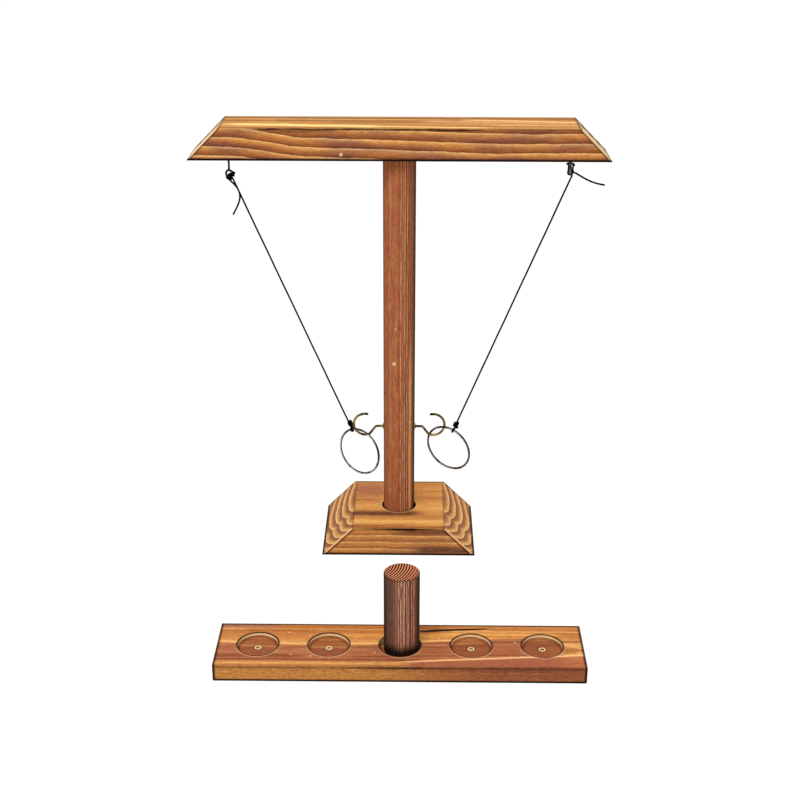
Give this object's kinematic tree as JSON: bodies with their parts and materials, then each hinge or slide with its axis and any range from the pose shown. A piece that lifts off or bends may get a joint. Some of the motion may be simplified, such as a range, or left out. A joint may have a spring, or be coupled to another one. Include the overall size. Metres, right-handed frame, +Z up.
{
  "type": "hook and ring toss game",
  "caption": "Wooden tower with strings and metal rings to swing onto cup hooks on its post, and a score board with a movable peg.",
  "frame": {"origin": "centre of the underside of the tower's base, where it rests", "axes": "+Z up along the post; +X along the crossbar to the right as seen from the score board; +Y away from the score board"},
  "size_m": [0.312, 0.2615, 0.341],
  "materials": {
    "pine_base": "stained pine, satin",
    "pine_bar": "stained pine, satin",
    "pine_board": "stained pine, satin",
    "dowel_wood": "stained dowel, satin",
    "peg_wood": "dark stained dowel, satin",
    "steel": "plain",
    "zinc": "zinc plated",
    "brass": "polished",
    "ring_steel": "nickel plated wire",
    "string": "black waxed cord"
  },
  "bodies": {
    "tower": {"base": "pine_base", "post": "dowel_wood", "crossbar": "pine_bar", "dowel_screws": "steel", "screw_eye_left": "zinc", "screw_eye_right": "zinc", "cup_hook_left": "brass", "cup_hook_right": "brass", "ring_knot_left": "string", "ring_knot_right": "string", "cord_left": "string", "cord_right": "string", "eye_knot_left": "string", "eye_knot_right": "string", "cord_tail_left": "string", "cord_tail_right": "string"},
    "ring_left": {"ring_left": "ring_steel", "ring_loop_left": "string"},
    "ring_right": {"ring_right": "ring_steel", "ring_loop_right": "string"},
    "board": {"score_board": "pine_board"},
    "peg": {"score_peg": "peg_wood"}
  },
  "joints": [
    {"name": "ring_left_swing", "type": "hinge", "parent": "tower", "child": "ring_left", "pos_m": [-0.03839, 0.00561, 0.08964], "axis": [-1, 0, 0], "range_deg": [0, 150]},
    {"name": "ring_right_swing", "type": "hinge", "parent": "tower", "child": "ring_right", "pos_m": [0.04352, -0.01016, 0.0965], "axis": [0.9848, 0, 0.174], "range_deg": [0, 135]},
    {"name": "board_move", "type": "slide", "parent": "tower", "child": "board", "axis": [0, -1, 0], "range_m": [-0.08, 0.12]},
    {"name": "peg_lift", "type": "slide", "parent": "board", "child": "peg", "axis": [0, 0, 1], "range_m": [0, 0.06]}
  ]
}
